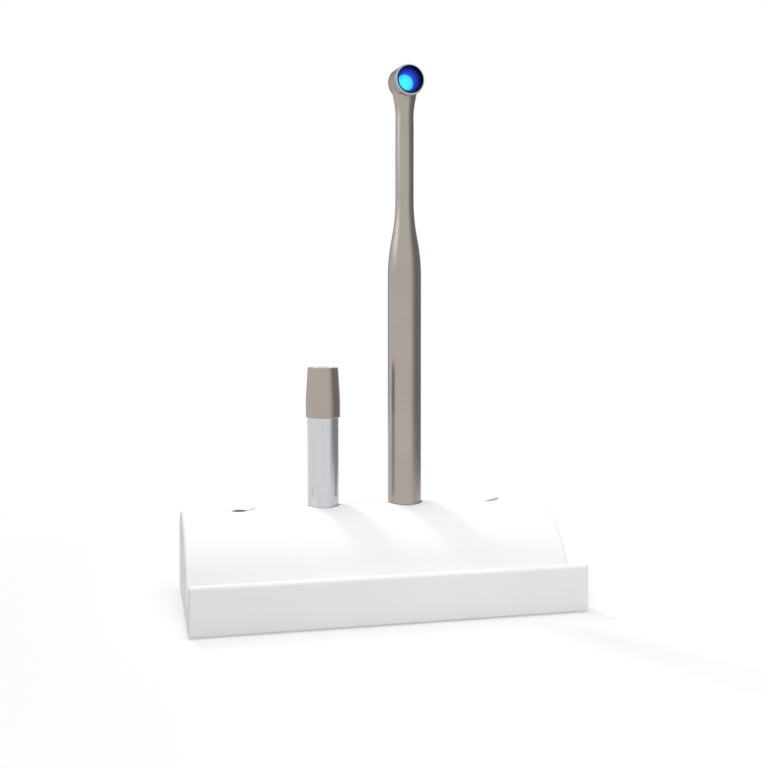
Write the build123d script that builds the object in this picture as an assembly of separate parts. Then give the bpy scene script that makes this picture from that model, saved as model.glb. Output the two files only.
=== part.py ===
from build123d import *
import math
import os

# Pen-style dental curing light standing in its charging base, with a spare battery pack.
# Millimetres. +Z up, +Y to the back, origin on the table under the middle of the base.

# Base housing: lengths, and the arcs of its section seen from the end
base_length = 169.0
base_depth = 81.0
wall = 2.4
lip_height = 20.5       # top of the front lip above the table
lip_round = 1.8         # half of the lip's thickness, its top is a half round
tray_radius = 10.0      # pen tray between the lip and the arched top
tray_depth = 9.9        # lowest line of the tray below the lip's top
arch_lead = 5.0         # degrees before the crest where the arch meets the back round
back_radius = 18.5
end_round = 1.4         # round of the two end faces
rim_round = 0.5         # round of the well mouths
over = 1.0              # how far a cut runs past the face it opens
close = 0.01            # an edge this near to a surface lies on it

# Stations in the top: meter, spare pack, handpiece and empty well, left to right
station_end = 26.3      # outer station axes from the end faces
station_from_back = 15.9
meter_radius = 7.4
meter_back_wall = 1.0644 # wall of the meter's recess at its back
cell_well_depth = 11.5
well_clearance = 0.3    # radial gap between a pack and its well
cup_wall = 1.4
cup_floor = 1.6
cup_corner = 1.2        # slope between a well's floor and its wall
rim_cover = 1.2         # how far the rim stands above the top of the tail cap

# Stack inside the base, from the table up
foot_proud = 0.8
foot_inset = 0.6
foot_radius = 5.0
cover_thick = 2.0
cover_gap = 0.2
solder_room = 1.6
board_thick = 1.6
board_margin = 12.0     # board beyond the outermost well axes
board_front = 14.0      # board in front of the well axes
boss_edge = 1.0         # board left outside its bosses
ballast_thick = 3.0
ballast_width = 120.0
ballast_depth = 36.0
ballast_from_cover = 2.0
ballast_corner = 3.0
boss_radius = 3.0
boss_inset_x = 7.5      # cover boss axis from the end face
boss_inset_y = 12.0     # cover boss axis from the front and back face
foot_inset_x = 18.5
foot_inset_y = 10.0
screw_radius = 1.05
screw_length = 5.0      # thread above the cover
screw_head = 2.3
screw_play = 0.1        # radial play of a screw in its cover
screw_room = 0.4        # hole beyond a screw's tip
slot_width = 0.6
board_boss_radius = 2.2
board_screw_radius = 0.8
board_screw_length = 5.0

# Power socket
socket_width = 9.0
socket_height = 11.0
socket_body = 9.0
socket_nose = 4.0
socket_bore = 2.8
socket_pin_radius = 1.0
socket_depth = 8.5
socket_gap = 0.15       # radial gap round the nose in the back wall
socket_sunk = 0.3       # nose below the outside of the back wall
pin_sunk = 1.0

# Sprung contact pins
barrel_radius = 1.6
barrel_length = 6.8
barrel_floor = 0.8
barrel_lip = 0.6
solder_leg = 2.0
leg_radius = 0.5
plunger_radius = 0.7
plunger_proud = 1.0
plunger_flange = 1.0
flange_thick = 0.8
running_gap = 0.05
tip_round = 0.7         # part of a pin's radius that is rounded at its tip
spring_turns = 4
pin_spring_wire = 0.25
pin_spring_inset = 0.3  # wire centre inside the flange's edge
ring_contact_inner = 4.4
ring_contact_outer = 6.0
ring_contact_thick = 0.4

# Light meter
bezel_radius = 4.0
bezel_thick = 2.6
bezel_inset = 0.4
bezel_edge = 0.25
window_radius = 2.6
window_drop = 1.0       # window below the bezel's underside
window_sunk = 0.3       # window below the bezel's top
sensor_length = 3.0
meter_board_radius = 6.0
meter_floor = 2.0

# Battery pack
can_radius = 7.25
can_exposed = 46.9
can_round = 0.8
cap_length = 23.1
cap_land = 8.0          # straight part of the cap next to the can
cap_proud = 0.12        # cap outside the handpiece's body
cap_taper = 0.92        # end face inside the land, in radius
cap_socket = 9.0        # how deep the can sits in the cap
cap_round = 0.6
cap_edge = 0.3
nose_shoulder = 1.65    # step from the can to its nose
nose_length = 5.0
nose_round = 0.8
contact_gap = 0.2       # between a plunger's tip and the contact above it
contact_radius = 3.0
contact_thick = 1.6
insulator_wall = 1.2

# Handpiece tube, shoulder and neck
sleeve_wall = 0.5
slide_gap = 0.1         # radial gap between the can and the sleeve
seat_gap = 0.05
seam_step = 0.25        # depth of the fine groove at the seam
seam_height = 0.2
nose_room = 0.8         # nose tip below the seam
housing_wall = 1.0
shoulder_length = 36.3
neck_radius = 4.3
neck_length = 54.6      # shoulder end to lamp axis
wire_bore = 2.2
head_turn = 6.5         # degrees the lamp faces right of the front

# Lamp head, measured from the neck axis towards the front
head_radius = 7.2
head_front = 6.4
head_back = 5.4
head_back_round = 3.0
head_edge = 0.4
head_wall = 0.8
flare_length = 19.0
flare_inset = 0.4       # flare's end inside the back of the head
ring_step = 0.3         # bezel inside the head's radius
ring_proud = 1.2        # bezel in front of the head
ring_wall = 0.6         # bezel round the lens
ring_edge = 0.2
ring_spigot = 1.4
lens_lap = 0.6          # lens over the bezel's shoulder
lens_seat = 0.6
lens_edge = 0.8
lens_crown = 0.6
emitter_radius = 4.2
emitter_thick = 1.0
star_front = 1.6
star_thick = 1.0
reflector_wall = 0.4    # at the mouth
reflector_land = 0.4
sink_wall = 1.6         # head left behind the heat sink

# Handpiece inner parts
coupling_gap = 0.4      # coupling ring above the can
coupling_upper = 6.0
coupling_seal_radius = 0.4
nose_gap = 0.3
contact_disc_thick = 0.8
contact_disc_drop = 0.8
nose_spring_gap = 0.1
nose_spring_wire = 0.5
nose_spring_inset = 0.7 # wire centre inside the contact's edge
carrier_gap = 0.1
carrier_end = 4.0       # solid ends of the carrier
carrier_pocket = 1.8    # depth of the hollow under the board
control_face = -0.5     # back face of the control board, from the axis
control_thick = 1.2
control_side = 0.8      # board's edge inside the bore
control_end = 2.0       # board beyond the status window
bore_end = 2.0          # straight bore ends before the shoulder
switch_size = 3.0
switch_height = 3.5
lead_radius = 0.45
lead_spread = 1.0

# Buttons and status window on the back
power_height = 40.0     # power button above the seam
power_width = 4.6
power_span = 9.6
mode_width = 4.6
button_space = 4.9      # between the two buttons
window_space = 4.0      # between the power button and the status window
shoulder_space = 3.5    # from the status window to the shoulder
button_proud = 0.45
button_gap = 0.15
button_flange = 0.7
button_travel = 0.5
button_skirt = 5.2      # inner face of a button, from the axis
skirt_thick = 0.8
flange_gap = 0.15       # flange inside the bore
stem_gap = 0.1
status_radius = 1.2
status_pipe = 0.7

# Radii and lengths that follow from what fits in what
sleeve_bore = can_radius + slide_gap
body_radius = sleeve_bore + sleeve_wall
housing_bore = body_radius - housing_wall
cap_radius = body_radius + cap_proud
cap_end_radius = cap_radius - cap_taper
nose_radius = can_radius - nose_shoulder
contact_recess = plunger_proud + contact_gap
insulator_radius = contact_radius + insulator_wall
sleeve_length = can_exposed + nose_length + nose_room
coupling_lower = nose_length + nose_room - coupling_gap
ring_radius = head_radius - ring_step
ring_front = head_front + ring_proud
lens_radius = ring_radius - ring_wall
spigot_bore = lens_radius - lens_lap
reflector_mouth = spigot_bore - reflector_wall
sink_back = head_back - sink_wall
mode_height = power_height - power_span / 2 - button_space - mode_width / 2
window_height = power_height + power_span / 2 + window_space + status_radius
upper_length = window_height + shoulder_space
control_length = window_height + control_end - coupling_upper
control_width = 2 * (math.sqrt(housing_bore**2 - (control_thick - control_face) ** 2) - control_side)

# Heights that follow from the sizes above
cover_top = foot_proud + cover_thick
board_bottom = cover_top + solder_room
board_top = board_bottom + board_thick
tail_z = board_top + solder_leg + barrel_length
cap_top = tail_z + cap_length
crest_z = cap_top + rim_cover
cell_floor_z = crest_z - cell_well_depth
seam_z = cap_top + sleeve_length
shoulder_z = seam_z + upper_length
neck_z = shoulder_z + shoulder_length
head_z = neck_z + neck_length
station_y = base_depth / 2 - station_from_back
station_pitch = (base_length - 2 * station_end) / 3
meter_x, spare_x, handpiece_x, empty_x = [(i - 1.5) * station_pitch for i in range(4)]
cell_bore = can_radius + well_clearance
tail_bore = cap_radius + well_clearance
wells = {
    "spare": (spare_x, cell_floor_z, cell_bore),
    "handpiece": (handpiece_x, tail_z, tail_bore),
    "empty": (empty_x, cell_floor_z, cell_bore),
}


def turned(*outline):
    """Solid turned about Z from a closed outline of (radius, height) points."""
    return revolve(Plane.XZ * make_face(Polyline(*outline, close=True)), Axis.Z)


def tube(outer, inner, low, high):
    return turned((inner, low), (outer, low), (outer, high), (inner, high))


def rod(radius, low, high):
    return Pos(0, 0, low) * Cylinder(radius, high - low, align=(Align.CENTER, Align.CENTER, Align.MIN))


def block(x_size, y_size, low, high):
    return Pos(0, 0, low) * Box(x_size, y_size, high - low, align=(Align.CENTER, Align.CENTER, Align.MIN))


def outer_circle(body, z):
    """Largest circular edge at a height."""
    level = [e for e in body.edges().filter_by(GeomType.CIRCLE) if abs(e.center().Z - z) < close]
    return max(level, key=lambda e: e.radius)


def between(centre, toward, distance):
    """Point at a distance from centre, in the direction of toward."""
    length = math.dist(centre, toward)
    return tuple(c + (t - c) * distance / length for c, t in zip(centre, toward))


def arc(centre, radius, start, end):
    """Short arc about centre from start to end."""
    middle = ((start[0] + end[0]) / 2, (start[1] + end[1]) / 2)
    return ThreePointArc(start, between(centre, middle, radius), end)


# Centres of the lip, tray, arch and back rounds, each tangent to the next, as (y, z)
lip_c = (lip_round - base_depth / 2, lip_height - lip_round)
tray_rise = lip_height - tray_depth + tray_radius - lip_c[1]
tray_c = (lip_c[0] + math.sqrt((lip_round + tray_radius) ** 2 - tray_rise**2), lip_c[1] + tray_rise)
back_c = (base_depth / 2 - back_radius, crest_z - back_radius)
lead_y = math.sin(math.radians(arch_lead))
lead_z = -math.cos(math.radians(arch_lead))
round_sum = back_radius + tray_radius
along_lead = (tray_c[0] - back_c[0]) * lead_y + (tray_c[1] - back_c[1]) * lead_z
arch_reach = (math.dist(tray_c, back_c) ** 2 - round_sum**2) / (2 * (along_lead + round_sum))
arch_radius = back_radius + arch_reach
arch_c = (back_c[0] + arch_reach * lead_y, back_c[1] + arch_reach * lead_z)


def top_surface(y):
    """Height of the arched top at a depth y."""
    if y > between(arch_c, back_c, arch_radius)[0]:
        return back_c[1] + math.sqrt(back_radius**2 - (y - back_c[0]) ** 2)
    return arch_c[1] + math.sqrt(arch_radius**2 - (y - arch_c[0]) ** 2)


meter_depth = crest_z - top_surface(station_y + meter_radius) + meter_back_wall


def housing_section():
    """Outer section of the housing, in the YZ plane."""
    front, back = -base_depth / 2, base_depth / 2
    lip_start = (front, lip_c[1])
    lip_end = between(lip_c, tray_c, lip_round)
    tray_end = between(tray_c, arch_c, tray_radius)
    arch_end = between(arch_c, back_c, arch_radius)
    back_end = (back, back_c[1])
    lip_over = (lip_c[0], lip_height)
    tray_low = (tray_c[0], tray_c[1] - tray_radius)
    outline = (
        Line((back, foot_proud), (front, foot_proud))
        + Line((front, foot_proud), lip_start)
        + ThreePointArc(lip_start, lip_over, lip_end)
        + ThreePointArc(lip_end, tray_low, tray_end)
        + arc(arch_c, arch_radius, tray_end, arch_end)
        + arc(back_c, back_radius, arch_end, back_end)
        + Line(back_end, (back, foot_proud))
    )
    return Plane.YZ * make_face(outline)


def cavity():
    """Hollow of the housing, one wall inside its section and open below."""
    front, back = -base_depth / 2 + wall, base_depth / 2 - wall
    tray_out = tray_radius + wall
    drop = math.sqrt(tray_out**2 - (tray_c[0] - front) ** 2)
    lip_end = (front, tray_c[1] - drop)
    tray_end = between(tray_c, arch_c, tray_out)
    arch_end = between(arch_c, back_c, arch_radius - wall)
    back_end = (back, back_c[1])
    tray_low = (tray_c[0], tray_c[1] - tray_out)
    outline = (
        Line((back, 0), (front, 0))
        + Line((front, 0), lip_end)
        + ThreePointArc(lip_end, tray_low, tray_end)
        + arc(arch_c, arch_radius - wall, tray_end, arch_end)
        + arc(back_c, back_radius - wall, arch_end, back_end)
        + Line(back_end, (back, 0))
    )
    half = base_length / 2 - wall
    return extrude(Plane.YZ * make_face(outline), half, both=True)


hollow = cavity()
cover_bosses = [
    (side * (base_length / 2 - boss_inset_x), end * (base_depth / 2 - boss_inset_y))
    for side in (-1, 1)
    for end in (-1, 1)
]
board_x = (spare_x + empty_x) / 2
board_length = empty_x - spare_x + 2 * board_margin
board_back = base_depth / 2 - wall - cover_gap
board_depth = board_back - (station_y - board_front)
board_y = board_back - board_depth / 2
board_bosses = [
    (0, station_y - board_front + board_boss_radius + boss_edge),
    (station_pitch, station_y - board_front + board_boss_radius + boss_edge),
    (station_pitch, board_back - board_boss_radius - boss_edge),
]
socket_z = board_top + socket_height / 2


def base_shell():
    """Moulded housing with lip, tray, arched top, well mouths and screw bosses."""
    outer = extrude(housing_section(), base_length / 2, both=True)
    ends = outer.faces().sort_by(Axis.X)
    rim = [e for face in (ends[0], ends[-1]) for e in face.edges() if e.bounding_box().max.Z > foot_proud + over]
    outer = fillet(rim, end_round)
    shell = outer - hollow
    meter_low = crest_z - meter_depth - meter_floor
    shell += Pos(meter_x, station_y) * rod(meter_radius + cup_wall, meter_low, crest_z) & outer
    for x, y in cover_bosses:
        shell += Pos(x, y) * rod(boss_radius, cover_top, crest_z) & hollow
    for x, y in board_bosses:
        shell += Pos(x, y) * rod(board_boss_radius, board_top, crest_z) & hollow
    shell -= Pos(meter_x, station_y) * rod(meter_radius, crest_z - meter_depth, crest_z + over)
    shell -= Pos(meter_x, station_y) * rod(bezel_radius, crest_z - meter_depth - bezel_inset, crest_z)
    shell -= Pos(meter_x, station_y) * rod(window_radius, meter_low - over, crest_z)
    for x, floor_z, bore in wells.values():
        shell -= Pos(x, station_y) * rod(bore, cell_floor_z, crest_z + over)
    mouths = [(x, bore) for x, floor_z, bore in wells.values()] + [(meter_x, meter_radius)]
    shell = fillet([e for e in shell.edges() if is_mouth(e, mouths)], rim_round)
    for x, y in cover_bosses:
        shell -= Pos(x, y) * rod(screw_radius, cover_top - over, cover_top + screw_length + screw_room)
    for x, y in board_bosses:
        tip = board_top + board_screw_length + screw_room
        shell -= Pos(x, y) * rod(board_screw_radius, board_top - over, tip)
    nose_hole = rod(socket_nose + socket_gap, -over, 2 * wall)
    nose_hole = Pos(0, base_depth / 2, socket_z) * Rot(90, 0, 0) * nose_hole
    return shell - nose_hole


def is_mouth(edge, mouths):
    """True for an edge round a well mouth in the outer top surface."""
    points = [edge.position_at(t) for t in (0.1, 0.5)]
    rims = [max(abs(math.dist((p.X, p.Y), (x, station_y)) - r) for p in points) for x, r in mouths]
    return min(rims) < close and all(abs(p.Z - top_surface(p.Y)) < close for p in points)


def bottom_cover():
    """Flat cover inside the housing's foot, with countersinks and foot recesses."""
    gap = wall + cover_gap
    plate = block(base_length - 2 * gap, base_depth - 2 * gap, foot_proud, cover_top)
    plate = fillet(plate.edges().filter_by(Axis.Z), end_round)
    for x, y in cover_bosses:
        plate -= Pos(x, y) * screw_cone(screw_play)
        plate -= Pos(x, y) * rod(screw_radius + screw_play, foot_proud, cover_top)
    for x, y in feet_places():
        plate -= Pos(x, y) * rod(foot_radius, foot_proud, foot_proud + foot_inset)
    return plate


def screw_cone(extra):
    """Countersunk head, widened by extra for its seat."""
    top = foot_proud + screw_head - screw_radius
    return turned((0, foot_proud), (screw_head + extra, foot_proud), (screw_radius + extra, top), (0, top))


def cover_screws():
    shaft = rod(screw_radius, foot_proud, cover_top + screw_length)
    screw = shaft + screw_cone(0)
    slot = block(2 * screw_radius, slot_width, foot_proud, foot_proud + slot_width)
    screw -= slot + Rot(0, 0, 90) * slot
    return Compound([Pos(x, y) * screw for x, y in cover_bosses])


def feet_places():
    return [
        (side * (base_length / 2 - foot_inset_x), end * (base_depth / 2 - foot_inset_y))
        for side in (-1, 1)
        for end in (-1, 1)
    ]


def rubber_feet():
    foot = rod(foot_radius, 0, foot_proud + foot_inset)
    foot = fillet(foot.edges().sort_by(Axis.Z)[0], foot_proud / 2)
    return Compound([Pos(x, y) * foot for x, y in feet_places()])


def ballast_plate():
    y = -base_depth / 2 + wall + cover_gap + ballast_depth / 2 + ballast_from_cover
    plate = Pos(0, y) * block(ballast_width, ballast_depth, cover_top, cover_top + ballast_thick)
    return chamfer(plate.edges().filter_by(Axis.Z), ballast_corner)


def charging_board():
    board = Pos(board_x, board_y) * block(board_length, board_depth, board_bottom, board_top)
    for x, y in board_bosses:
        board -= Pos(x, y) * rod(board_screw_radius + screw_play, board_bottom, board_top)
    return board


def board_screws():
    shaft = rod(board_screw_radius, board_bottom, board_top + board_screw_length)
    head = rod(2 * board_screw_radius, board_bottom - solder_room / 2, board_bottom)
    return Compound([Pos(x, y) * (shaft + head) for x, y in board_bosses])


def cup(x, floor_z, bore):
    """Well liner that stands on the board and meets the underside of the top."""
    boss = barrel_radius + cup_wall
    web = floor_z - cup_floor
    low = floor_z - barrel_length
    body = turned(
        (barrel_radius, floor_z), (bore, floor_z), (bore, crest_z), (bore + cup_wall, crest_z),
        (bore + cup_wall, board_top), (bore, board_top), (bore, web), (boss, web), (boss, low),
        (barrel_radius, low),
    )
    body = chamfer(outer_circle(body, floor_z), cup_corner)
    groove = tube(ring_contact_outer, ring_contact_inner, floor_z - ring_contact_thick, floor_z)
    return Pos(x, station_y) * (body - groove) & hollow


def well_rings():
    rings = []
    for x, floor_z, bore in wells.values():
        ring = tube(ring_contact_outer, ring_contact_inner, floor_z - ring_contact_thick, floor_z)
        rings.append(Pos(x, station_y) * ring)
    return Compound(rings)


def contact_barrels():
    """Closed sleeves that guide the plungers, each with its solder leg."""
    bore = plunger_flange + running_gap
    mouth = plunger_radius + running_gap
    barrels = []
    for x, floor_z, well_bore in wells.values():
        low = floor_z - barrel_length
        lip = floor_z - barrel_lip
        barrel = turned(
            (0, board_top), (leg_radius, board_top), (leg_radius, low), (barrel_radius, low),
            (barrel_radius, floor_z), (mouth, floor_z), (mouth, lip), (bore, lip),
            (bore, low + barrel_floor), (0, low + barrel_floor),
        )
        barrels.append(Pos(x, station_y) * barrel)
    return Compound(barrels)


def plunger(x, floor_z):
    """Sprung contact pin with a domed tip and a flange under the barrel's lip."""
    flange_top = floor_z - barrel_lip - running_gap
    pin = rod(plunger_radius, flange_top, floor_z + plunger_proud)
    pin = fillet(pin.edges().sort_by(Axis.Z)[-1], tip_round * plunger_radius)
    return Pos(x, station_y) * (pin + rod(plunger_flange, flange_top - flange_thick, flange_top))


def coil(radius, wire, low, high):
    """Compression spring of square wire between two heights."""
    height = high - low - wire
    path = Pos(0, 0, low + wire / 2) * Helix(height / spring_turns, height, radius)
    section = Plane(origin=path @ 0, x_dir=(1, 0, 0), z_dir=path % 0) * Rectangle(wire, wire)
    return sweep(section, path=path, is_frenet=True)


def plunger_spring(x, floor_z):
    low = floor_z - barrel_length + barrel_floor
    high = floor_z - barrel_lip - running_gap - flange_thick
    radius = plunger_flange - pin_spring_inset
    return Pos(x, station_y) * coil(radius, pin_spring_wire, low, high)


def power_socket():
    """Inlet on the board, its round nose through the back wall."""
    inner = base_depth / 2 - wall
    body = block(socket_width, socket_body, board_top, board_top + socket_height)
    body = Pos(0, inner - socket_body / 2) * body
    toward = Pos(0, inner, socket_z) * Rot(-90, 0, 0)
    body += toward * rod(socket_nose, 0, wall - socket_sunk)
    body -= toward * rod(socket_bore, wall - socket_depth, wall)
    return body


def socket_pin():
    pin = rod(socket_pin_radius, wall - socket_depth, wall - pin_sunk)
    pin = fillet(pin.edges().sort_by(Axis.Z)[-1], tip_round * socket_pin_radius)
    return Pos(0, base_depth / 2 - wall, socket_z) * Rot(-90, 0, 0) * pin


def meter_bezel():
    low = crest_z - meter_depth - bezel_inset
    ring = tube(bezel_radius, window_radius, low, low + bezel_thick)
    return Pos(meter_x, station_y) * chamfer(ring.edges().sort_by(Axis.Z)[-2:], bezel_edge)


def meter_window():
    low = crest_z - meter_depth - bezel_inset
    return Pos(meter_x, station_y) * rod(window_radius, low - window_drop, low + bezel_thick - window_sunk)


def meter_sensor():
    top = crest_z - meter_depth - bezel_inset - window_drop
    return Pos(meter_x, station_y) * rod(window_radius, top - sensor_length, top)


def meter_board():
    window_low = crest_z - meter_depth - bezel_inset - window_drop
    top = min(crest_z - meter_depth - meter_floor, window_low - sensor_length)
    return Pos(meter_x, station_y) * rod(meter_board_radius, top - board_thick, top)


def pack_can():
    """Metal can with the cell, from its seat in the cap to its nose shoulder."""
    can = rod(can_radius, cap_top - cap_socket, cap_top + can_exposed)
    return fillet(can.edges().sort_by(Axis.Z)[-1], can_round)


def pack_cap():
    """Tail cap: a straight land by the can, then a taper to its end face."""
    taper_z = cap_top - cap_land
    body = turned(
        (0, tail_z), (cap_end_radius, tail_z), (cap_radius, taper_z), (cap_radius, cap_top),
        (can_radius, cap_top), (can_radius, cap_top - cap_socket), (0, cap_top - cap_socket),
    )
    body = fillet(outer_circle(body, tail_z), cap_round)
    body = chamfer(outer_circle(body, cap_top), cap_edge)
    return body - rod(insulator_radius, tail_z, tail_z + contact_recess + contact_thick)


def pack_tail_insulator():
    top = tail_z + contact_recess + contact_thick
    return tube(insulator_radius, contact_radius, tail_z, top)


def pack_tail_contact():
    return rod(contact_radius, tail_z + contact_recess, tail_z + contact_recess + contact_thick)


def pack_nose():
    """Plastic collar on the can's nose, recessed for its contact."""
    low = cap_top + can_exposed
    collar = rod(nose_radius, low, low + nose_length)
    collar = fillet(collar.edges().sort_by(Axis.Z)[-1], nose_round)
    return collar - rod(contact_radius, low, low + nose_length)


def pack_nose_pin():
    low = cap_top + can_exposed
    return rod(contact_radius, low, low + nose_length - contact_recess)


def spared(shape):
    """The same piece on the spare pack, nose down in its well."""
    tip = cap_top + can_exposed + nose_length
    return Pos(spare_x, station_y, cell_floor_z + tip) * Rot(180, 0, 0) * shape


def battery_sleeve():
    """Outer tube round the can, stepped in at its top for the groove of the seam."""
    step_z = seam_z - seam_height
    sleeve = tube(body_radius, sleeve_bore, cap_top + seat_gap, step_z)
    return sleeve + tube(body_radius - seam_step, sleeve_bore, step_z, seam_z)


def coupling_ring():
    """Inner ring across the seam, with a groove for its seal."""
    low = seam_z - coupling_lower
    ring = tube(sleeve_bore, nose_radius + nose_gap, low, seam_z)
    ring += tube(housing_bore, nose_radius + nose_gap, seam_z, seam_z + coupling_upper)
    groove = seam_z - coupling_lower / 2
    half = coupling_seal_radius
    return ring - tube(sleeve_bore, sleeve_bore - 2 * half, groove - half, groove + half)


def coupling_seal():
    centre = sleeve_bore - coupling_seal_radius
    return Pos(0, 0, seam_z - coupling_lower / 2) * Torus(centre, coupling_seal_radius)


def contact_disc():
    top = seam_z + coupling_upper - contact_disc_drop
    return rod(nose_radius + nose_gap, top - contact_disc_thick, top)


def nose_spring():
    low = cap_top + can_exposed + nose_length - contact_recess + nose_spring_gap
    high = seam_z + coupling_upper - contact_disc_drop - contact_disc_thick
    return coil(contact_radius - nose_spring_inset, nose_spring_wire, low, high)


def shoulder_outline(inset):
    """Two tangent arcs from body to neck, inset from the outside."""
    middle = ((body_radius + neck_radius) / 2 - inset, shoulder_z + shoulder_length / 2)
    lower = TangentArc((body_radius - inset, shoulder_z), middle, tangent=(0, 1))
    upper = TangentArc(middle, (neck_radius - inset, neck_z), tangent=lower % 1)
    return lower + upper


def tube_and_neck():
    flare_z = head_z - flare_length
    outline = (
        Polyline((0, flare_z), (0, seam_z), (body_radius, seam_z), (body_radius, shoulder_z))
        + shoulder_outline(0)
        + Polyline((neck_radius, neck_z), (neck_radius, flare_z), (0, flare_z))
    )
    return revolve(Plane.XZ * make_face(outline), Axis.Z)


def flare():
    """Neck widening into the head: a circle lofted through ellipses."""
    neck = neck_radius
    steps = [(0, neck, neck), (0.42, 1.09 * neck, 1.02 * neck), (0.72, 1.35 * neck, 1.08 * neck),
             (1, 0.97 * head_radius, head_back - flare_inset)]
    sections = [Pos(0, 0, head_z - flare_length * (1 - t)) * Ellipse(a, b) for t, a, b in steps]
    return loft(sections)


def head_plane(shape):
    """Turn a shape made about Z, front end up, onto the lamp axis."""
    return Pos(0, 0, head_z) * Rot(90, 0, 0) * shape


def head_barrel():
    barrel = rod(head_radius, -head_back, head_front)
    barrel = fillet(barrel.edges().sort_by(Axis.Z)[0], head_back_round)
    barrel = fillet(barrel.edges().sort_by(Axis.Z)[-1], head_edge)
    return head_plane(barrel)


def housing_hollow():
    """Bore for the electronics, cone and wire channel up to the lamp chamber."""
    cone_z = shoulder_z + shoulder_length / 2
    bore = turned(
        (0, seam_z), (housing_bore, seam_z), (housing_bore, shoulder_z - bore_end),
        (wire_bore, cone_z), (wire_bore, head_z), (0, head_z),
    )
    return bore + head_plane(rod(head_radius - head_wall, -sink_back, head_front))


def button_hole(width, span, height):
    face = button_face(width / 2 + button_gap, span / 2 + button_gap)
    return extrude(Plane.XZ * Pos(0, seam_z + height) * face, -2 * body_radius)


def button_face(half_width, half_span):
    """Round-ended button outline."""
    if half_span <= half_width:
        return Circle(half_width)
    return SlotOverall(2 * half_span, 2 * half_width, rotation=90)


def upper_housing():
    """One-piece metal housing: upper body, shoulder, neck and lamp head."""
    housing = tube_and_neck() + flare() + head_barrel()
    housing -= housing_hollow()
    housing -= button_hole(power_width, power_span, power_height)
    housing -= button_hole(mode_width, mode_width, mode_height)
    housing -= Pos(0, 0, seam_z + window_height) * Rot(-90, 0, 0) * rod(status_radius, 0, 2 * body_radius)
    return housing


def button(width, span, height):
    """Button curved like the housing, with a retaining flange and a stem."""
    plane = Plane.XZ * Pos(0, seam_z + height)
    outside = rod(body_radius + button_proud, seam_z, shoulder_z)
    inside = rod(housing_bore - flange_gap, seam_z, shoulder_z)
    cap = extrude(plane * button_face(width / 2, span / 2), -2 * body_radius)
    flange = extrude(plane * button_face(width / 2 + button_flange, span / 2 + button_flange), -2 * body_radius)
    skirt = Pos(0, button_skirt + skirt_thick / 2) * block(2 * body_radius, skirt_thick, seam_z, shoulder_z)
    beyond = Pos(0, button_skirt + body_radius) * block(2 * body_radius, 2 * body_radius, seam_z, shoulder_z)
    stem_end = control_face + switch_height + button_travel + stem_gap
    stem = Pos(0, 0, seam_z + height) * Rot(-90, 0, 0) * rod(switch_size / 3, stem_end, button_skirt + skirt_thick / 2)
    return (cap & outside & beyond) + (flange & inside & skirt) + stem


def lens():
    """Clear front lens with a shallow crown."""
    low = ring_front - lens_seat - lens_edge
    rim = low + lens_edge
    sphere = (lens_radius**2 + lens_crown**2) / (2 * lens_crown)
    centre = (0, rim + lens_crown - sphere)
    outline = (
        Polyline((0, rim + lens_crown), (0, low), (lens_radius, low), (lens_radius, rim))
        + arc(centre, sphere, (lens_radius, rim), (0, rim + lens_crown))
    )
    return head_plane(revolve(Plane.XZ * make_face(outline), Axis.Z))


def lens_ring():
    """Bezel that holds the lens and screws into the head."""
    seat = ring_front - lens_seat - lens_edge
    thread = head_radius - head_wall
    low = head_front - ring_spigot
    ring = turned(
        (spigot_bore, low), (thread, low), (thread, head_front), (ring_radius, head_front),
        (ring_radius, ring_front), (lens_radius, ring_front), (lens_radius, seat), (spigot_bore, seat),
    )
    return head_plane(chamfer(ring.edges().sort_by(Axis.Z)[-2:], ring_edge))


def reflector():
    """Cup between the emitter and the lens, its mouth wider than its foot."""
    seat = ring_front - lens_seat - lens_edge
    land = star_front + emitter_thick + reflector_land
    cup_shape = turned(
        (emitter_radius, star_front), (spigot_bore, star_front), (spigot_bore, seat),
        (reflector_mouth, seat), (emitter_radius, land),
    )
    return head_plane(cup_shape)


def emitter():
    die = rod(emitter_radius, star_front, star_front + emitter_thick)
    return head_plane(fillet(die.edges().sort_by(Axis.Z)[-1], emitter_thick / 2))


def emitter_board():
    return head_plane(rod(head_radius - head_wall, star_front - star_thick, star_front))


def heat_sink():
    return head_plane(rod(head_radius - head_wall, -sink_back, star_front - star_thick))


def lamp_leads():
    """Two insulated wires from the control board up the neck to the lamp board."""
    y = control_face - control_thick / 2
    low = seam_z + coupling_upper + control_length
    rim = head_radius - head_wall
    high = head_z - math.sqrt(rim**2 - (lead_spread - lead_radius) ** 2)
    return Compound([Pos(side * lead_spread, y) * rod(lead_radius, low, high) for side in (-1, 1)])


def control_board():
    y = control_face - control_thick / 2
    low = seam_z + coupling_upper
    return Pos(0, y) * block(control_width, control_thick, low, low + control_length)


def board_carrier():
    """Half-round plastic chassis under the control board."""
    low = seam_z + coupling_upper
    face = control_face - control_thick
    body = rod(housing_bore - carrier_gap, low, low + control_length)
    body -= Pos(0, face + body_radius) * block(2 * body_radius, 2 * body_radius, low, low + control_length)
    high = low + control_length - carrier_end
    pocket = block(control_width / 2, 2 * carrier_pocket, low + carrier_end, high)
    return body - Pos(0, face) * pocket


def button_switches():
    y = control_face + switch_height / 2
    switches = []
    for height in (mode_height, power_height):
        low = seam_z + height - switch_size / 2
        switches.append(Pos(0, y) * block(switch_size, switch_height, low, low + switch_size))
    return Compound(switches)


def indicator_window():
    """Light pipe from the control board to a round window in the housing."""
    pipe = rod(status_pipe, control_face, body_radius - housing_wall)
    pipe += rod(status_radius, housing_bore, body_radius + over)
    pipe = Pos(0, 0, seam_z + window_height) * Rot(-90, 0, 0) * pipe
    return pipe & rod(body_radius, seam_z, shoulder_z)


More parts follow.
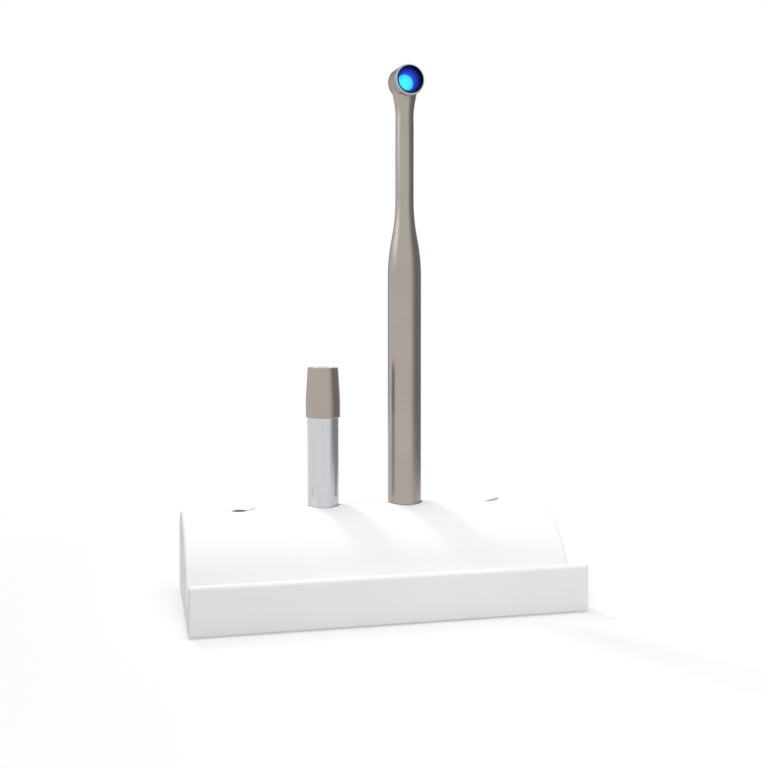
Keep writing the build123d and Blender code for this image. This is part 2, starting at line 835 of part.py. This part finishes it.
def in_hand(shape):
    """Place a handpiece piece in its well, turned to face the lamp slightly right."""
    return Pos(handpiece_x, station_y) * Rot(0, 0, head_turn) * shape


pack_pieces = {
    "can": pack_can(),
    "cap": pack_cap(),
    "tail_insulator": pack_tail_insulator(),
    "tail_contact": pack_tail_contact(),
    "nose": pack_nose(),
    "nose_pin": pack_nose_pin(),
}
handpiece_pieces = {
    "battery_sleeve": battery_sleeve(),
    "coupling_ring": coupling_ring(),
    "coupling_seal": coupling_seal(),
    "contact_disc": contact_disc(),
    "nose_spring": nose_spring(),
    "upper_housing": upper_housing(),
    "power_button": button(power_width, power_span, power_height),
    "mode_button": button(mode_width, mode_width, mode_height),
    "indicator_window": indicator_window(),
    "control_board": control_board(),
    "board_carrier": board_carrier(),
    "button_switches": button_switches(),
    "lamp_leads": lamp_leads(),
    "heat_sink": heat_sink(),
    "emitter_board": emitter_board(),
    "emitter": emitter(),
    "reflector": reflector(),
    "lens": lens(),
    "lens_ring": lens_ring(),
}
nodes = {
    "base_shell": base_shell(),
    "bottom_cover": bottom_cover(),
    "cover_screws": cover_screws(),
    "rubber_feet": rubber_feet(),
    "ballast_plate": ballast_plate(),
    "charging_board": charging_board(),
    "board_screws": board_screws(),
    "well_rings": well_rings(),
    "contact_barrels": contact_barrels(),
    "power_socket": power_socket(),
    "socket_pin": socket_pin(),
    "meter_bezel": meter_bezel(),
    "meter_window": meter_window(),
    "meter_sensor": meter_sensor(),
    "meter_board": meter_board(),
}
for name, (x, floor_z, bore) in wells.items():
    nodes[name + "_cup"] = cup(x, floor_z, bore)
    nodes[name + "_plunger"] = plunger(x, floor_z)
    nodes[name + "_spring"] = plunger_spring(x, floor_z)
for name, shape in pack_pieces.items():
    nodes["pack_" + name] = in_hand(shape)
    nodes["spare_" + name] = spared(shape)
for name, shape in handpiece_pieces.items():
    nodes[name] = in_hand(shape)

os.makedirs("parts", exist_ok=True)
for name, shape in nodes.items():
    export_step(shape, f"parts/{name}.step")
print(len(nodes), "nodes")
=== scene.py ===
import bpy
import math
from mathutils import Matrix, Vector


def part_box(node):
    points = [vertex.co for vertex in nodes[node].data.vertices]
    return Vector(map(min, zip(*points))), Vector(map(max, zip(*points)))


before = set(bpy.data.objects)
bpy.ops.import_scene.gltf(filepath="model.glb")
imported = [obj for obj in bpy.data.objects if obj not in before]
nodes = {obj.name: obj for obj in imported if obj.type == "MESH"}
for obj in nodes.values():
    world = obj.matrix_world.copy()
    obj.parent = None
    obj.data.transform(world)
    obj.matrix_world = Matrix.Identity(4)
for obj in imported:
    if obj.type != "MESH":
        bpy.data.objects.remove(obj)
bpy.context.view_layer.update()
scene = bpy.context.scene
print("frame loaded with", len(nodes), "nodes")

# Camera at the photograph's viewing angle
cameraValues = {
    "place": (-0.10377, -0.46037, 0.12994),
    "turnDegrees": 13.149,         # to the right of straight back
    "pitchDegrees": 2.0,           # below the horizon
    "lens": 49.944,
    "sensorWidth": 36,
    "shiftY": -0.0505,
    "near": 0.01,
    "far": 20,
}


def addCamera(values):
    tilt = math.radians(90 - values["pitchDegrees"])
    turn = -math.radians(values["turnDegrees"])
    bpy.ops.object.camera_add(location=values["place"], rotation=(tilt, 0, turn))
    camera = bpy.context.object
    camera.name = "photoCamera"
    camera.data.lens = values["lens"]
    camera.data.sensor_width = values["sensorWidth"]
    camera.data.shift_y = values["shiftY"]
    camera.data.clip_start = values["near"]
    camera.data.clip_end = values["far"]
    scene.camera = camera


addCamera(cameraValues)
print("camera placed")

# Soft studio light: a key behind on the left, and soft fills from the front and above
lampValues = {
    "key": {"place": (-0.30, 0.60, 0.95), "size": 0.13, "watts": 3.7},
    "front": {"place": (0.12, -1.20, 0.80), "size": 1.1, "watts": 2.9},
    "top": {"place": (-0.15, -0.10, 1.20), "size": 1.4, "watts": 13.2},
    "aim": (0.0, 0.0, 0.06),
    "worldGrey": 0.40,
}


def addLamp(name, values, aim):
    place = Vector(values["place"])
    turn = (Vector(aim) - place).to_track_quat("-Z", "Y").to_euler()
    bpy.ops.object.light_add(type="AREA", location=place, rotation=turn)
    lamp = bpy.context.object
    lamp.name = name
    lamp.data.shape = "DISK"
    lamp.data.size = values["size"]
    lamp.data.energy = values["watts"]
    lamp.visible_glossy = False    # the screens below make the reflections


for lampName in ("key", "front", "top"):
    addLamp(lampName + "Lamp", lampValues[lampName], lampValues["aim"])


# Short helpers for shader trees
def rgb(red, green, blue):
    return (red, green, blue, 1)


def grey(tone):
    return rgb(tone, tone, tone)


def emptyTree(name):
    material = bpy.data.materials.new(name)
    material.use_nodes = True
    material.node_tree.nodes.clear()
    return material, material.node_tree


def addNode(tree, kind, **values):
    node = tree.nodes.new("ShaderNode" + kind)
    for socket, value in values.items():
        node.inputs[socket].default_value = value
    return node


def addMath(tree, operation, first, second):
    node = addNode(tree, "Math")
    node.operation = operation
    tree.links.new(first, node.inputs[0])
    tree.links.new(second, node.inputs[1])
    return node.outputs["Value"]


def addVectorMath(tree, operation, first, second=(0, 0, 0)):
    node = addNode(tree, "VectorMath")
    node.operation = operation
    node.inputs[1].default_value = second
    tree.links.new(first, node.inputs[0])
    return node


def addSpan(tree, value, source, target, easing="LINEAR"):
    # Turns a value between the two of source into one between the two of target
    ends = {"From Min": source[0], "From Max": source[1], "To Min": target[0], "To Max": target[1]}
    span = addNode(tree, "MapRange", **ends)
    span.interpolation_type = easing
    tree.links.new(value, span.inputs["Value"])
    return span.outputs["Result"]


def addWhiteRays(tree):
    # 1 for rays that see the background: straight from the camera, mirrored or through glass
    path = addNode(tree, "LightPath")
    either = addMath(tree, "MAXIMUM", path.outputs["Is Camera Ray"], path.outputs["Is Glossy Ray"])
    return addMath(tree, "MAXIMUM", either, path.outputs["Is Transmission Ray"])


def addWorld(tone):
    world = bpy.data.worlds.new("studioWorld")
    scene.world = world
    world.use_nodes = True
    tree = world.node_tree
    tree.nodes.clear()
    lit = addNode(tree, "Background", Color=grey(1), Strength=tone)
    seen = addNode(tree, "Background", Color=grey(1), Strength=1.0)
    mix = addNode(tree, "MixShader")
    output = addNode(tree, "OutputWorld")
    tree.links.new(addWhiteRays(tree), mix.inputs["Fac"])
    tree.links.new(lit.outputs["Background"], mix.inputs[1])
    tree.links.new(seen.outputs["Background"], mix.inputs[2])
    tree.links.new(mix.outputs["Shader"], output.inputs["Surface"])


addWorld(lampValues["worldGrey"])
scene.view_settings.view_transform = "Standard"
print("lamps and world set")

# White floor that keeps only the soft shadow near the object
floorValues = {
    "width": 8.0,
    "drop": 0.0002,                # just under the feet
    "albedo": 0.80,
    "shadowDepth": 0.55,           # how much of the shading shows to the camera
    "shadowNear": 0.14,            # full shading inside this radius
    "shadowFar": 0.30,             # plain white beyond this one
}


def floorMaterial(values):
    material, tree = emptyTree("paleFloor")
    matte = addNode(tree, "BsdfDiffuse", Color=grey(values["albedo"]))
    white = addNode(tree, "Emission", Color=grey(1), Strength=1.0)
    coords = addNode(tree, "TexCoord")
    reach = addVectorMath(tree, "LENGTH", coords.outputs["Object"]).outputs["Value"]
    radii = (values["shadowNear"], values["shadowFar"])
    fade = addSpan(tree, reach, radii, (1 - values["shadowDepth"], 1.0), "SMOOTHSTEP")
    amount = addMath(tree, "MULTIPLY", fade, addWhiteRays(tree))
    mix = addNode(tree, "MixShader")
    output = addNode(tree, "OutputMaterial")
    tree.links.new(amount, mix.inputs["Fac"])
    tree.links.new(matte.outputs["BSDF"], mix.inputs[1])
    tree.links.new(white.outputs["Emission"], mix.inputs[2])
    tree.links.new(mix.outputs["Shader"], output.inputs["Surface"])
    return material


def addFloor(values):
    bpy.ops.mesh.primitive_plane_add(size=values["width"], location=(0, 0, -values["drop"]))
    floor = bpy.context.object
    floor.name = "studioFloor"
    floor.data.materials.append(floorMaterial(values))


addFloor(floorValues)

# Screens round the object, seen only in its reflections: shade on both sides, a lift high on
# the left. Their ends are in degrees to the right of the direction to the camera.
screenValues = {
    "right": {"from": 40, "full": 86, "to": 150, "tone": 0.28,
              "reach": 0.32, "low": -0.01, "high": 0.60},
    "left": {"from": -122, "full": -165, "to": -172, "tone": 0.30,
             "reach": 0.75, "low": -0.01, "high": 0.75},
    "lift": {"from": -60, "full": -72, "to": -108, "tone": 1.8,
             "reach": 0.75, "low": 0.32, "high": 0.75},
    "segments": 32,
}


def screenMaterial(name, values, start):
    # White at the end where the sheet starts, and its own tone from "full" on
    material, tree = emptyTree(name)
    middle = math.radians(values["to"] - values["from"]) / 2
    full = math.radians(values["full"] - values["from"]) - middle
    coords = addNode(tree, "TexCoord")
    turned = addNode(tree, "Mapping", Rotation=(0, 0, -start - middle))
    split = addNode(tree, "SeparateXYZ")
    tree.links.new(coords.outputs["Object"], turned.inputs["Vector"])
    tree.links.new(turned.outputs["Vector"], split.inputs["Vector"])
    angle = addMath(tree, "ARCTAN2", split.outputs["Y"], split.outputs["X"])
    fade = addSpan(tree, angle, (-middle, full), (1.0, values["tone"]), "SMOOTHSTEP")
    glow = addNode(tree, "Emission", Color=grey(1))
    output = addNode(tree, "OutputMaterial")
    tree.links.new(fade, glow.inputs["Strength"])
    tree.links.new(glow.outputs["Emission"], output.inputs["Surface"])
    return material


def addScreen(name, values, segments):
    # An edge stood up at the start and spun about the upright through the origin
    towards = math.degrees(math.atan2(cameraValues["place"][1], cameraValues["place"][0]))
    turn = math.radians(values["to"] - values["from"])
    start = math.radians(towards + values["from"])
    foot = (values["reach"] * math.cos(start), values["reach"] * math.sin(start), values["low"])
    rise = (0, 0, values["high"] - values["low"])
    bpy.ops.mesh.primitive_plane_add(size=1, location=(0, 0, 0))
    screen = bpy.context.object
    screen.name = name
    bpy.ops.object.mode_set(mode="EDIT")
    bpy.ops.mesh.select_all(action="SELECT")
    bpy.ops.mesh.merge(type="CENTER")
    bpy.ops.transform.translate(value=foot)
    bpy.ops.mesh.extrude_region_move(TRANSFORM_OT_translate={"value": rise})
    bpy.ops.mesh.select_all(action="SELECT")
    bpy.ops.mesh.spin(steps=segments, angle=-turn, center=(0, 0, 0), axis=(0, 0, 1))
    bpy.ops.object.mode_set(mode="OBJECT")
    screen.visible_camera = False
    screen.visible_diffuse = False
    screen.visible_shadow = False
    screen.visible_transmission = False
    screen.data.materials.append(screenMaterial(name, values, start))


for screenName in ("right", "left", "lift"):
    addScreen(screenName + "Screen", screenValues[screenName], screenValues["segments"])

# A dark card on the left, seen by diffuse rays only, keeps that end face greyer than the front
cardValues = {
    "place": (-0.23, 0.0, 0.17),
    "length": 0.60,
    "height": 0.38,
    "tone": 0.01,
}


def addCard(values):
    upright = (0, math.pi / 2, 0)
    bpy.ops.mesh.primitive_plane_add(size=1, location=values["place"], rotation=upright)
    card = bpy.context.object
    card.name = "shadeCard"
    card.scale = (values["height"], values["length"], 1)
    bpy.ops.object.transform_apply(location=True, rotation=True, scale=True)
    card.visible_camera = False
    card.visible_glossy = False
    card.visible_shadow = False
    card.visible_transmission = False
    material, tree = emptyTree("shadeCard")
    glow = addNode(tree, "Emission", Color=grey(values["tone"]), Strength=1.0)
    output = addNode(tree, "OutputMaterial")
    tree.links.new(glow.outputs["Emission"], output.inputs["Surface"])
    card.data.materials.append(material)


addCard(cardValues)
print("floor, screens and card set")


# What the finishes are made of
def startMaterial(name, roughness, metallic=0.0):
    material = bpy.data.materials.new(name)
    material.use_nodes = True
    tree = material.node_tree
    shader = tree.nodes["Principled BSDF"]
    shader.inputs["Roughness"].default_value = roughness
    shader.inputs["Metallic"].default_value = metallic
    return material, tree, shader


noiseSpread = (0.35, 0.65)         # most of a noise's values lie between these


def addNoise(tree, scale, detail=3.0, stretch=(1, 1, 1)):
    coords = addNode(tree, "TexCoord")
    mapping = addNode(tree, "Mapping", Scale=stretch)
    noise = addNode(tree, "TexNoise", Scale=scale, Detail=detail)
    tree.links.new(coords.outputs["Object"], mapping.inputs["Vector"])
    tree.links.new(mapping.outputs["Vector"], noise.inputs["Vector"])
    return noise.outputs["Fac"]


def addRamp(tree, factor, steps):
    # Colours at their places between 0 and 1
    ramp = addNode(tree, "ValToRGB")
    ends = ramp.color_ramp.elements
    while len(ends) < len(steps):
        ends.new(0.5)              # the loop below places it
    for end, (place, tone) in zip(ends, steps):
        end.position, end.color = place, tone
    tree.links.new(factor, ramp.inputs["Fac"])
    return ramp.outputs["Color"]


def addTone(tree, shader, factor, values):
    tone = addRamp(tree, factor, list(zip(noiseSpread, (values["dark"], values["light"]))))
    tree.links.new(tone, shader.inputs["Base Color"])


def addGloss(tree, shader, factor, values):
    roughness = addSpan(tree, factor, (0, 1), (values["smooth"], values["rough"]))
    tree.links.new(roughness, shader.inputs["Roughness"])


def addBump(tree, shader, height, values):
    bump = addNode(tree, "Bump", Strength=values["bump"], Distance=values["bumpDepth"])
    tree.links.new(height, bump.inputs["Height"])
    tree.links.new(bump.outputs["Normal"], shader.inputs["Normal"])


# Satin white moulding of the base
whiteValues = {
    "dark": rgb(0.835, 0.835, 0.845),
    "light": rgb(0.865, 0.865, 0.875),
    "smooth": 0.46,
    "rough": 0.56,
    "mirror": 0.25,
    "toneScale": 14.0,
    "glossScale": 60.0,
    "grainScale": 420.0,
    "grainDetail": 2.0,
    "bump": 0.04,
    "bumpDepth": 0.0001,
}


def whiteMoulding(values):
    material, tree, shader = startMaterial("whiteMoulding", values["smooth"])
    addTone(tree, shader, addNoise(tree, values["toneScale"]), values)
    addGloss(tree, shader, addNoise(tree, values["glossScale"]), values)
    addBump(tree, shader, addNoise(tree, values["grainScale"], values["grainDetail"]), values)
    shader.inputs["Specular IOR Level"].default_value = values["mirror"]
    return material


# Satin champagne metal of the handpiece and the tail caps
champagneValues = {
    "dark": rgb(0.395, 0.355, 0.322),
    "light": rgb(0.422, 0.380, 0.345),
    "smooth": 0.23,
    "rough": 0.28,
    "metallic": 0.95,
    "toneScale": 45.0,
    "toneDetail": 4.0,
    "glossScale": 240.0,
    "grainScale": 1800.0,
    "grainDetail": 2.0,
    "bump": 0.01,
    "bumpDepth": 0.00001,
}


def champagneMetal(values):
    material, tree, shader = startMaterial("champagneMetal", values["smooth"], values["metallic"])
    addTone(tree, shader, addNoise(tree, values["toneScale"], values["toneDetail"]), values)
    addGloss(tree, shader, addNoise(tree, values["glossScale"]), values)
    addBump(tree, shader, addNoise(tree, values["grainScale"], values["grainDetail"]), values)
    return material


# Bright can of the battery packs, drawn lengthwise
canValues = {
    "dark": rgb(0.580, 0.590, 0.610),
    "light": rgb(0.622, 0.632, 0.652),
    "smooth": 0.17,
    "rough": 0.23,
    "lines": (900.0, 900.0, 22.0),  # fine across, long up the can
    "bump": 0.03,
    "bumpDepth": 0.00002,
}


def drawnCan(values):
    material, tree, shader = startMaterial("drawnCan", values["smooth"], 1.0)
    lines = addNoise(tree, 1.0, stretch=values["lines"])
    addTone(tree, shader, lines, values)
    addGloss(tree, shader, lines, values)
    addBump(tree, shader, lines, values)
    return material


# Plain finishes, in which one grain drives the tone, the gloss and the bump
def plainFinish(name, values):
    material, tree, shader = startMaterial(name, values["smooth"], values["metallic"])
    grain = addNoise(tree, values["scale"], values["detail"])
    addTone(tree, shader, grain, values)
    addGloss(tree, shader, grain, values)
    addBump(tree, shader, grain, values)
    shader.inputs["Specular Tint"].default_value = values["edge"]
    return material


metalBase = {"metallic": 1.0, "detail": 4.0, "edge": grey(1), "bump": 0.06, "bumpDepth": 0.00002}
metalValues = {
    "brass": {"dark": rgb(0.66, 0.45, 0.17), "light": rgb(0.80, 0.58, 0.26),
              "smooth": 0.14, "rough": 0.26, "scale": 1500.0},
    "steel": {"dark": rgb(0.50, 0.50, 0.52), "light": rgb(0.62, 0.62, 0.63),
              "smooth": 0.2, "rough": 0.35, "scale": 1200.0},
    "couplingSteel": {"dark": rgb(0.10, 0.09, 0.085), "light": rgb(0.14, 0.13, 0.12),
                      "smooth": 0.3, "rough": 0.42, "scale": 1200.0},
    "sinkAlloy": {"dark": rgb(0.60, 0.61, 0.62), "light": rgb(0.70, 0.71, 0.72),
                  "smooth": 0.3, "rough": 0.45, "scale": 1200.0},
    "meterBrass": {"dark": rgb(0.13, 0.105, 0.055), "light": rgb(0.20, 0.165, 0.09),
                   "smooth": 0.24, "rough": 0.36, "scale": 1500.0,
                   "edge": rgb(0.50, 0.44, 0.29)},  # brown also at a low angle
}
plasticBase = {"metallic": 0.0, "detail": 4.0, "edge": grey(1), "bump": 0.15, "bumpDepth": 0.0001}
plasticValues = {
    # the liners' grey, darker than the white moulding, is painted shade inside the wells
    "shadedWellLiner": {"dark": rgb(0.58, 0.58, 0.59), "light": rgb(0.64, 0.64, 0.65),
                  "smooth": 0.35, "rough": 0.45, "scale": 300.0},
    "coverPlastic": {"dark": rgb(0.60, 0.60, 0.61), "light": rgb(0.68, 0.68, 0.69),
                     "smooth": 0.45, "rough": 0.6, "scale": 900.0, "bump": 0.4},
    "footRubber": {"dark": rgb(0.10, 0.10, 0.105), "light": rgb(0.14, 0.14, 0.145),
                   "smooth": 0.7, "rough": 0.85, "scale": 1500.0, "bump": 0.4},
    "boardGreen": {"dark": rgb(0.015, 0.10, 0.05), "light": rgb(0.03, 0.17, 0.08),
                   "smooth": 0.25, "rough": 0.4, "scale": 500.0},
    "blackPlastic": {"dark": rgb(0.02, 0.02, 0.022), "light": rgb(0.035, 0.035, 0.038),
                     "smooth": 0.35, "rough": 0.5, "scale": 1400.0},
    "tailInsulator": {"dark": rgb(0.80, 0.79, 0.77), "light": rgb(0.86, 0.85, 0.83),
                      "smooth": 0.3, "rough": 0.42, "scale": 1400.0},
    "buttonPlastic": {"dark": rgb(0.20, 0.19, 0.18), "light": rgb(0.25, 0.24, 0.225),
                      "smooth": 0.35, "rough": 0.5, "scale": 1800.0},
    "statusPlastic": {"dark": rgb(0.72, 0.75, 0.73), "light": rgb(0.80, 0.83, 0.81),
                      "smooth": 0.2, "rough": 0.3, "scale": 900.0},
    "leadSleeve": {"dark": rgb(0.45, 0.02, 0.02), "light": rgb(0.55, 0.04, 0.03),
                   "smooth": 0.4, "rough": 0.5, "scale": 900.0},
}

# Lamp: a lit cyan die in a cup that glows blue as painted light from the die and darkens towards
# its mouth as painted shade, with a bezel round the lens
glowValues = {
    "turnDegrees": 6.5,            # the lamp faces the front, turned a little to the right
    "unlit": rgb(0.0, 0.0, 0.01),
    "roughness": 0.5,
    "mirror": 0.1,
}
dieValues = {
    "core": rgb(0.055, 0.94, 0.97),
    "middle": rgb(0.06, 0.60, 1.0),
    "rim": rgb(0.016, 0.07, 0.66),
    "coreEnd": 0.45,               # parts of the radius
    "middlePlace": 0.85,
    "radius": 0.0042,
    "coreShift": (-0.0007, 0.0, -0.0009),  # the brightest spot, from the middle of the die
}
cupValues = {
    # painted blue light from the die at the foot, painted shade at the mouth
    "foot": rgb(0.030, 0.055, 0.78),
    "mouth": rgb(0.001, 0.001, 0.03),
    "depth": 0.0046,
}
ringValues = {
    # pale metal whose blue tint is painted light from the die
    "pale": rgb(0.48, 0.56, 0.71),
    # painted shade where the ring faces the lens
    "paintedShadeNavy": rgb(0.006, 0.009, 0.05),
    "paintedShadeInside": 0.00636,        # distance from the lamp's axis
    "paleOutside": 0.00656,
    "smooth": 0.2,
    "rough": 0.3,
    "glossScale": 900.0,
}
lensValues = {
    "dark": rgb(0.97, 0.98, 1.0),
    "light": rgb(1.0, 1.0, 1.0),
    "bend": 1.06,
    "mirror": 0.2,
    "toneScale": 900.0,
}
lampTurn = math.radians(glowValues["turnDegrees"])
lampAxis = Vector((math.sin(lampTurn), -math.cos(lampTurn), 0))
dieLow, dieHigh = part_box("emitter")
dieCore = (dieLow + dieHigh) / 2 + Vector(dieValues["coreShift"])
cupLow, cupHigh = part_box("reflector")
cupCentre = (cupLow + cupHigh) / 2


def fromPoint(tree, centre):
    coords = addNode(tree, "TexCoord")
    return addVectorMath(tree, "DISTANCE", coords.outputs["Object"], centre).outputs["Value"]


def fromCup(tree):
    coords = addNode(tree, "TexCoord")
    return addVectorMath(tree, "SUBTRACT", coords.outputs["Object"], cupCentre).outputs["Vector"]


def alongAxis(tree):
    return addVectorMath(tree, "DOT_PRODUCT", fromCup(tree), lampAxis).outputs["Value"]


def fromAxis(tree):
    across = addVectorMath(tree, "CROSS_PRODUCT", fromCup(tree), lampAxis)
    return addVectorMath(tree, "LENGTH", across.outputs["Vector"]).outputs["Value"]


def startGlow(name, values):
    material, tree, shader = startMaterial(name, values["roughness"])
    shader.inputs["Base Color"].default_value = values["unlit"]
    shader.inputs["Specular IOR Level"].default_value = values["mirror"]
    shader.inputs["Emission Strength"].default_value = 1.0
    return material, tree, shader


def lampDie(values):
    material, tree, shader = startGlow("lampDie", glowValues)
    reach = addSpan(tree, fromPoint(tree, dieCore), (0, values["radius"]), (0, 1))
    steps = [(0.0, values["core"]), (values["coreEnd"], values["core"]),
             (values["middlePlace"], values["middle"]), (1.0, values["rim"])]
    tree.links.new(addRamp(tree, reach, steps), shader.inputs["Emission Color"])
    return material


def lampCup(values):
    material, tree, shader = startGlow("lampCup", glowValues)
    # the cup is no lamp: its blue glow is painted light and its dark mouth is painted shade
    half = values["depth"] / 2
    height = addSpan(tree, alongAxis(tree), (-half, half), (0, 1))
    tone = addRamp(tree, height, [(0.0, values["foot"]), (1.0, values["mouth"])])
    tree.links.new(tone, shader.inputs["Emission Color"])
    return material


def lensRing(values):
    # Pale metal outside, tinted blue as painted light from the die, and painted shade in dark navy
    # where it faces the lens
    material, tree, shader = startMaterial("lensRing", values["smooth"], 1.0)
    radii = (values["paintedShadeInside"], values["paleOutside"])
    reach = addSpan(tree, fromAxis(tree), radii, (0, 1))
    tone = addRamp(tree, reach, [(0.0, values["paintedShadeNavy"]), (1.0, values["pale"])])
    tree.links.new(tone, shader.inputs["Base Color"])
    addGloss(tree, shader, addNoise(tree, values["glossScale"]), values)
    return material


def lensGlass(values):
    material, tree, shader = startMaterial("lensGlass", 0.0)
    shader.inputs["Transmission Weight"].default_value = 1.0
    shader.inputs["IOR"].default_value = values["bend"]
    shader.inputs["Specular IOR Level"].default_value = values["mirror"]
    addTone(tree, shader, addNoise(tree, values["toneScale"]), values)
    return material


# Window of the light meter: tan in the middle, dark towards its rim, under a clear coat
meterValues = {
    "middle": rgb(0.36, 0.30, 0.21),
    "rim": rgb(0.10, 0.075, 0.05),
    "middleEnd": 0.25,             # parts of the radius
    "rimStart": 0.6,
    "radius": 0.0026,
    "roughness": 0.08,
    "coat": 0.6,
    "coatRoughness": 0.03,
}
meterLow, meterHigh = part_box("meter_window")
meterCentre = ((meterLow.x + meterHigh.x) / 2, (meterLow.y + meterHigh.y) / 2, meterHigh.z)


def meterGlass(values):
    material, tree, shader = startMaterial("meterGlass", values["roughness"])
    reach = addSpan(tree, fromPoint(tree, meterCentre), (0, values["radius"]), (0, 1))
    steps = [(values["middleEnd"], values["middle"]), (values["rimStart"], values["rim"])]
    tree.links.new(addRamp(tree, reach, steps), shader.inputs["Base Color"])
    shader.inputs["Coat Weight"].default_value = values["coat"]
    shader.inputs["Coat Roughness"].default_value = values["coatRoughness"]
    return material


finishes = {
    "whiteMoulding": whiteMoulding(whiteValues),
    "champagneMetal": champagneMetal(champagneValues),
    "drawnCan": drawnCan(canValues),
    "lampDie": lampDie(dieValues),
    "lampCup": lampCup(cupValues),
    "lensRing": lensRing(ringValues),
    "lensGlass": lensGlass(lensValues),
    "meterGlass": meterGlass(meterValues),
}
for base, table in ((metalBase, metalValues), (plasticBase, plasticValues)):
    for name, values in table.items():
        finishes[name] = plainFinish(name, {**base, **values})
print("finishes made")

# Which nodes each finish is for
dressed = {
    "whiteMoulding": ["base_shell"],
    "shadedWellLiner": ["spare_cup", "handpiece_cup", "empty_cup"],
    "coverPlastic": ["bottom_cover"],
    "footRubber": ["rubber_feet", "coupling_seal"],
    "champagneMetal": ["battery_sleeve", "upper_housing", "pack_cap", "spare_cap"],
    "drawnCan": ["pack_can", "spare_can"],
    "brass": ["well_rings", "contact_barrels", "spare_plunger", "handpiece_plunger",
              "empty_plunger", "pack_tail_contact", "spare_tail_contact", "pack_nose_pin",
              "spare_nose_pin", "contact_disc"],
    "meterBrass": ["meter_bezel"],
    "steel": ["cover_screws", "board_screws", "ballast_plate", "socket_pin", "spare_spring",
              "handpiece_spring", "empty_spring", "nose_spring"],
    "couplingSteel": ["coupling_ring"],
    "sinkAlloy": ["heat_sink"],
    "boardGreen": ["charging_board", "meter_board", "control_board", "emitter_board"],
    "blackPlastic": ["power_socket", "meter_sensor", "pack_nose", "spare_nose", "board_carrier",
                     "button_switches"],
    "tailInsulator": ["pack_tail_insulator", "spare_tail_insulator"],
    "buttonPlastic": ["power_button", "mode_button"],
    "statusPlastic": ["indicator_window"],
    "leadSleeve": ["lamp_leads"],
    "lensRing": ["lens_ring"],
    "lensGlass": ["lens"],
    "meterGlass": ["meter_window"],
    "lampDie": ["emitter"],
    "lampCup": ["reflector"],
}
for finish, names in dressed.items():
    for name in names:
        mesh = nodes[name].data
        mesh.materials.clear()
        mesh.materials.append(finishes[finish])
undressed = set(nodes) - {name for names in dressed.values() for name in names}
print("finishes given, left over:", sorted(undressed))
